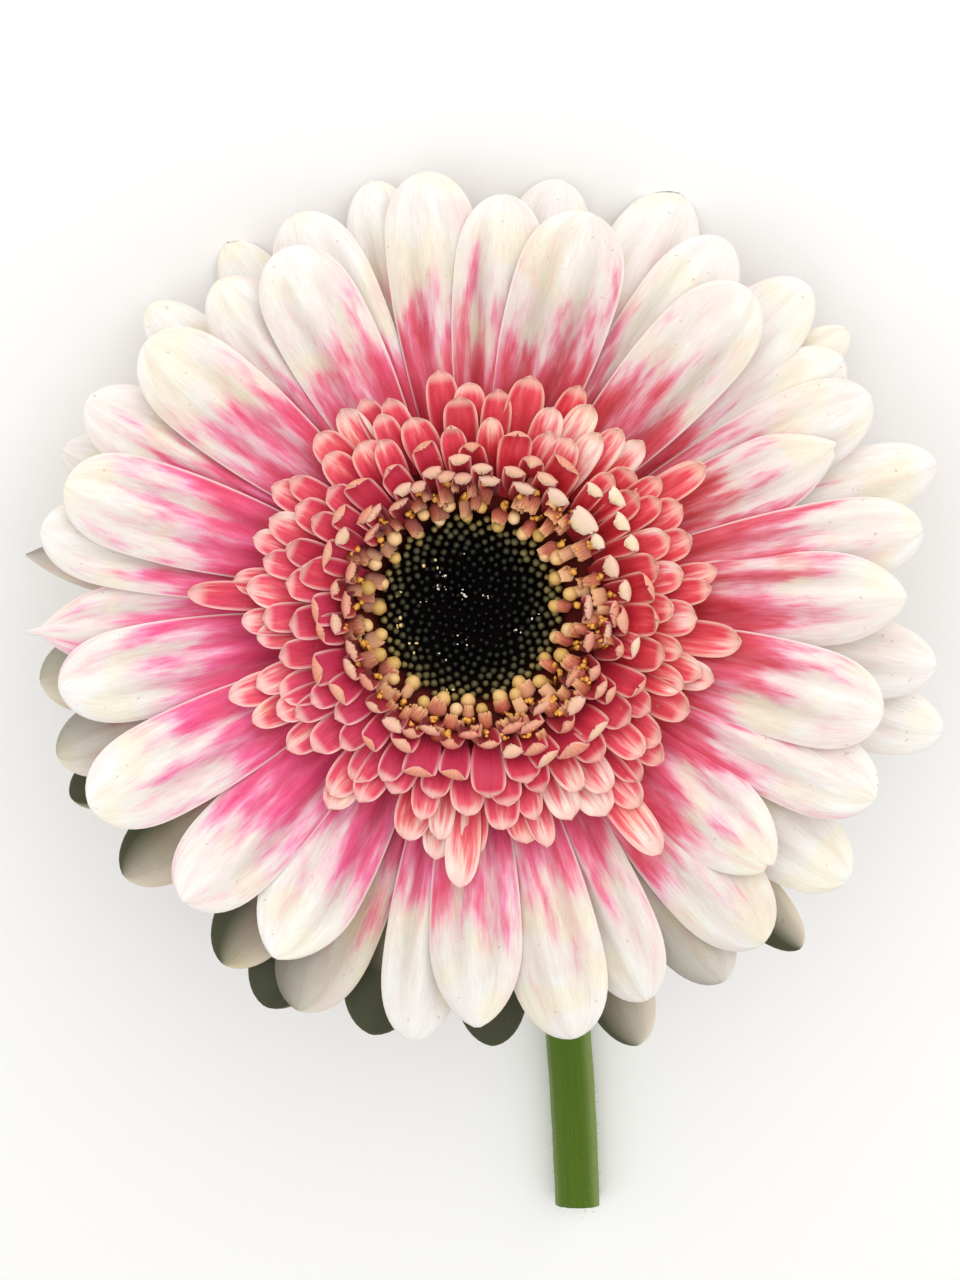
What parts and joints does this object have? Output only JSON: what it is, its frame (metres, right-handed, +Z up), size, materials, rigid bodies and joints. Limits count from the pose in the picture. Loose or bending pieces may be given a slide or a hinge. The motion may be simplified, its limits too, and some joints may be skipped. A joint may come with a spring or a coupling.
{
  "type": "cut gerbera",
  "caption": "Cut gerbera lying on a surface: short green stem, cup of bracts, cream and pink ray petals, coral short rays and a dark eye.",
  "frame": {"origin": "on the surface that the flower lies on, under the middle of its bounding box", "axes": "+Z up from the surface; the stem lies towards -Y with its cut end lowest in Y; the head looks up and towards +Y, its axis tilted 26 degrees from +Z"},
  "size_m": [0.1169, 0.1593, 0.0552],
  "materials": {
    "stem": "satin",
    "bracts": "matte",
    "petals": "satin",
    "short_rays": "satin",
    "florets": "satin",
    "buds": "satin"
  },
  "bodies": {
    "root": {"stem": "stem", "involucre": "bracts", "outer_rays": "petals", "inner_rays": "short_rays", "disc_florets": "florets", "disc_buds": "buds"}
  },
  "joints": []
}
